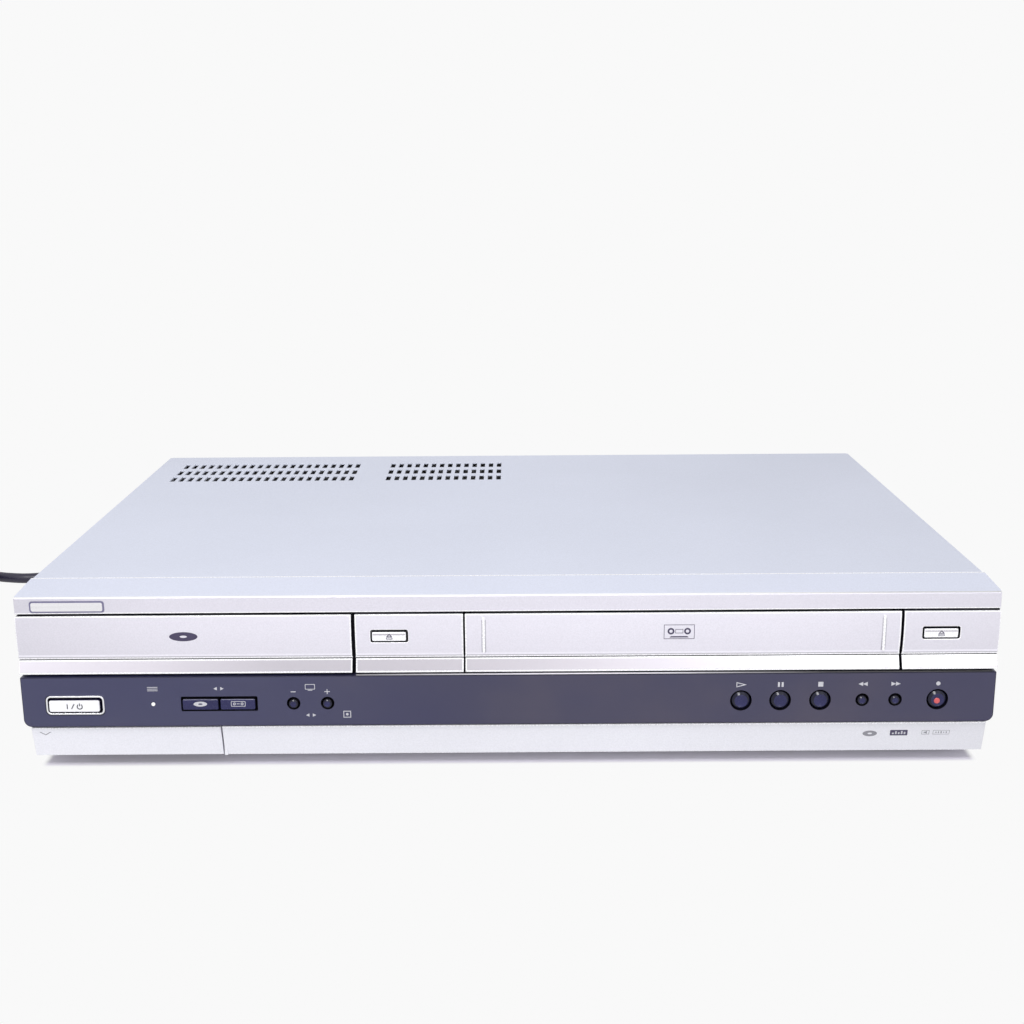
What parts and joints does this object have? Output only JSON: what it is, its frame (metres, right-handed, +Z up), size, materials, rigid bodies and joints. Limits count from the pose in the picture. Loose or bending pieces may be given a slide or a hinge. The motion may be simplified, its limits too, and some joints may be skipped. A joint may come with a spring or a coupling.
{
  "type": "dvd vcr combo player",
  "caption": "Slim silver disc player and video cassette recorder with sliding tray, cassette flap, dark control panel, pull-down door and mains lead.",
  "frame": {"origin": "middle of the footprint without the mains lead, on the surface the feet stand on", "axes": "+X to the right as seen from the front, +Y from the front to the back, +Z up"},
  "size_m": [0.636, 0.3802, 0.0825],
  "materials": {
    "cover_paint": "satin, fine metallic",
    "front_silver": "silver paint, satin",
    "panel_dark": "smoked, semi gloss",
    "button_dark": "semi gloss",
    "button_white": "satin",
    "ring_bright": "polished",
    "lamp_clear": "clear",
    "sheet_steel": "zinc plated",
    "plated_screw": "plated",
    "foot_rubber": "matt",
    "circuit_board": "solder mask",
    "supply_board": "paper laminate",
    "display_glass": "clear",
    "black_plastic": "moulded",
    "grey_plastic": "moulded",
    "white_nylon": "moulded",
    "machined_aluminium": "turned",
    "cord_black": "PVC, semi matt"
  },
  "bodies": {
    "case": {"bottom_chassis": "sheet_steel", "top_cover": "cover_paint", "rear_panel": "sheet_steel", "front_bezel": "front_silver", "control_panel": "panel_dark", "feet": "foot_rubber", "case_screws": "plated_screw", "power_button_ring": "ring_bright", "status_lamp": "lamp_clear", "front_board": "circuit_board", "display_tube": "display_glass", "front_input_jacks": "black_plastic", "disc_frame": "grey_plastic", "loader_motors": "plated_screw", "sled_frame": "sheet_steel", "spindle_motor": "plated_screw", "clamp_bridge": "sheet_steel", "tape_deck_plate": "sheet_steel", "drum_base": "machined_aluminium", "tape_heads": "machined_aluminium", "cassette_frame": "sheet_steel", "main_board": "circuit_board", "power_supply": "supply_board", "rear_jacks": "black_plastic", "strain_relief": "cord_black", "mains_cord": "cord_black", "mains_coil": "cord_black", "mains_plug": "cord_black"},
    "power_button": {"power_button": "button_white"},
    "disc_eject_button": {"disc_eject_button": "front_silver"},
    "tape_eject_button": {"tape_eject_button": "front_silver"},
    "disc_select_button": {"disc_select_button": "button_dark"},
    "tape_select_button": {"tape_select_button": "button_dark"},
    "channel_down_button": {"channel_down_button": "button_dark"},
    "channel_up_button": {"channel_up_button": "button_dark"},
    "play_button": {"play_button": "button_dark"},
    "pause_button": {"pause_button": "button_dark"},
    "stop_button": {"stop_button": "button_dark"},
    "rewind_button": {"rewind_button": "button_dark"},
    "fast_forward_button": {"fast_forward_button": "button_dark"},
    "record_button": {"record_button": "button_dark"},
    "input_door": {"input_door": "front_silver"},
    "tray": {"disc_tray": "black_plastic", "tray_front": "front_silver"},
    "tray_gear": {"tray_gear": "white_nylon"},
    "turntable": {"turntable": "black_plastic"},
    "disc_clamp": {"disc_clamp": "black_plastic"},
    "optical_pickup": {"optical_pickup": "grey_plastic"},
    "lead_screw": {"lead_screw": "plated_screw"},
    "head_drum": {"head_drum": "machined_aluminium"},
    "capstan": {"capstan": "plated_screw"},
    "pinch_arm": {"pinch_arm": "sheet_steel"},
    "pinch_roller": {"pinch_roller": "foot_rubber"},
    "supply_reel": {"supply_reel": "black_plastic"},
    "takeup_reel": {"takeup_reel": "black_plastic"},
    "supply_guide": {"supply_guide": "machined_aluminium"},
    "takeup_guide": {"takeup_guide": "machined_aluminium"},
    "cradle_carriage": {"cradle_carriage": "sheet_steel"},
    "cassette_cradle": {"cassette_cradle": "sheet_steel"},
    "tape_flap": {"tape_flap": "front_silver"}
  },
  "joints": [
    {"name": "power_button_press", "type": "slide", "parent": "case", "child": "power_button", "axis": [0, 1, 0], "range_m": [0, 0.001], "stiffness_N_per_m": 300, "springref_m": -0.0005},
    {"name": "disc_eject_button_press", "type": "slide", "parent": "case", "child": "disc_eject_button", "axis": [0, 1, 0], "range_m": [0, 0.001], "stiffness_N_per_m": 300, "springref_m": -0.0005},
    {"name": "tape_eject_button_press", "type": "slide", "parent": "case", "child": "tape_eject_button", "axis": [0, 1, 0], "range_m": [0, 0.001], "stiffness_N_per_m": 300, "springref_m": -0.0005},
    {"name": "disc_select_button_press", "type": "slide", "parent": "case", "child": "disc_select_button", "axis": [0, 1, 0], "range_m": [0, 0.001], "stiffness_N_per_m": 300, "springref_m": -0.0005},
    {"name": "tape_select_button_press", "type": "slide", "parent": "case", "child": "tape_select_button", "axis": [0, 1, 0], "range_m": [0, 0.001], "stiffness_N_per_m": 300, "springref_m": -0.0005},
    {"name": "channel_down_button_press", "type": "slide", "parent": "case", "child": "channel_down_button", "axis": [0, 1, 0], "range_m": [0, 0.001], "stiffness_N_per_m": 300, "springref_m": -0.0005},
    {"name": "channel_up_button_press", "type": "slide", "parent": "case", "child": "channel_up_button", "axis": [0, 1, 0], "range_m": [0, 0.001], "stiffness_N_per_m": 300, "springref_m": -0.0005},
    {"name": "play_button_press", "type": "slide", "parent": "case", "child": "play_button", "axis": [0, 1, 0], "range_m": [0, 0.001], "stiffness_N_per_m": 300, "springref_m": -0.0005},
    {"name": "pause_button_press", "type": "slide", "parent": "case", "child": "pause_button", "axis": [0, 1, 0], "range_m": [0, 0.001], "stiffness_N_per_m": 300, "springref_m": -0.0005},
    {"name": "stop_button_press", "type": "slide", "parent": "case", "child": "stop_button", "axis": [0, 1, 0], "range_m": [0, 0.001], "stiffness_N_per_m": 300, "springref_m": -0.0005},
    {"name": "rewind_button_press", "type": "slide", "parent": "case", "child": "rewind_button", "axis": [0, 1, 0], "range_m": [0, 0.001], "stiffness_N_per_m": 300, "springref_m": -0.0005},
    {"name": "fast_forward_button_press", "type": "slide", "parent": "case", "child": "fast_forward_button", "axis": [0, 1, 0], "range_m": [0, 0.001], "stiffness_N_per_m": 300, "springref_m": -0.0005},
    {"name": "record_button_press", "type": "slide", "parent": "case", "child": "record_button", "axis": [0, 1, 0], "range_m": [0, 0.001], "stiffness_N_per_m": 300, "springref_m": -0.0005},
    {"name": "input_door_drop", "type": "hinge", "parent": "case", "child": "input_door", "pos_m": [-0.17, -0.1402, 0.0072], "axis": [1, 0, 0], "range_deg": [0, 85]},
    {"name": "tray_slide", "type": "slide", "parent": "case", "child": "tray", "axis": [0, -1, 0], "range_m": [0, 0.132]},
    {"name": "tray_gear_turn", "type": "hinge", "parent": "case", "child": "tray_gear", "pos_m": [-0.1859, -0.129, 0.054], "axis": [0, 0, 1], "range_deg": [0, 946]},
    {"name": "turntable_spin", "type": "hinge", "parent": "case", "child": "turntable", "pos_m": [-0.1411, -0.075, 0.05], "axis": [0, 0, 1], "continuous": true},
    {"name": "disc_clamp_spin", "type": "hinge", "parent": "case", "child": "disc_clamp", "pos_m": [-0.1411, -0.075, 0.065], "axis": [0, 0, 1], "continuous": true},
    {"name": "pickup_slide", "type": "slide", "parent": "case", "child": "optical_pickup", "axis": [0, 1, 0], "range_m": [0, 0.033]},
    {"name": "lead_screw_turn", "type": "hinge", "parent": "case", "child": "lead_screw", "pos_m": [-0.1721, -0.04, 0.046], "axis": [0, 1, 0], "range_deg": [0, 2971]},
    {"name": "head_drum_spin", "type": "hinge", "parent": "case", "child": "head_drum", "pos_m": [0.0767, 0.033, 0.027], "axis": [0, 0.1045, 0.9945], "continuous": true},
    {"name": "capstan_spin", "type": "hinge", "parent": "case", "child": "capstan", "pos_m": [0.1287, 0.004, 0.02], "axis": [0, 0, 1], "continuous": true},
    {"name": "pinch_arm_swing", "type": "hinge", "parent": "case", "child": "pinch_arm", "pos_m": [0.15, 0.012, 0.025], "axis": [0, 0, 1], "range_deg": [0, 60]},
    {"name": "pinch_roller_spin", "type": "hinge", "parent": "pinch_arm", "child": "pinch_roller", "pos_m": [0.1386, 0.022, 0.04], "axis": [0, 0, 1], "continuous": true},
    {"name": "supply_reel_spin", "type": "hinge", "parent": "case", "child": "supply_reel", "pos_m": [0.0307, -0.062, 0.024], "axis": [0, 0, 1], "continuous": true},
    {"name": "takeup_reel_spin", "type": "hinge", "parent": "case", "child": "takeup_reel", "pos_m": [0.1227, -0.062, 0.024], "axis": [0, 0, 1], "continuous": true},
    {"name": "supply_guide_load", "type": "slide", "parent": "case", "child": "supply_guide", "axis": [0, 1, 0], "range_m": [0, 0.05]},
    {"name": "takeup_guide_load", "type": "slide", "parent": "case", "child": "takeup_guide", "axis": [0, 1, 0], "range_m": [0, 0.05]},
    {"name": "carriage_slide", "type": "slide", "parent": "case", "child": "cradle_carriage", "axis": [0, 1, 0], "range_m": [0, 0.06]},
    {"name": "cradle_drop", "type": "slide", "parent": "cradle_carriage", "child": "cassette_cradle", "axis": [0, 0, -1], "range_m": [0, 0.0205]},
    {"name": "tape_flap_swing", "type": "hinge", "parent": "case", "child": "tape_flap", "pos_m": [0.0767, -0.1417, 0.0766], "axis": [1, 0, 0], "range_deg": [0, 95], "stiffness_Nm_per_rad": 0.004, "springref_deg": -28.65}
  ],
  "couplings": [
    {"joint": "tray_gear_turn", "follows": "tray_slide", "rad_per_m": 125},
    {"joint": "disc_clamp_spin", "follows": "turntable_spin", "ratio": 1},
    {"joint": "lead_screw_turn", "follows": "pickup_slide", "rad_per_m": 1570.8},
    {"joint": "takeup_guide_load", "follows": "supply_guide_load", "ratio": 1}
  ]
}
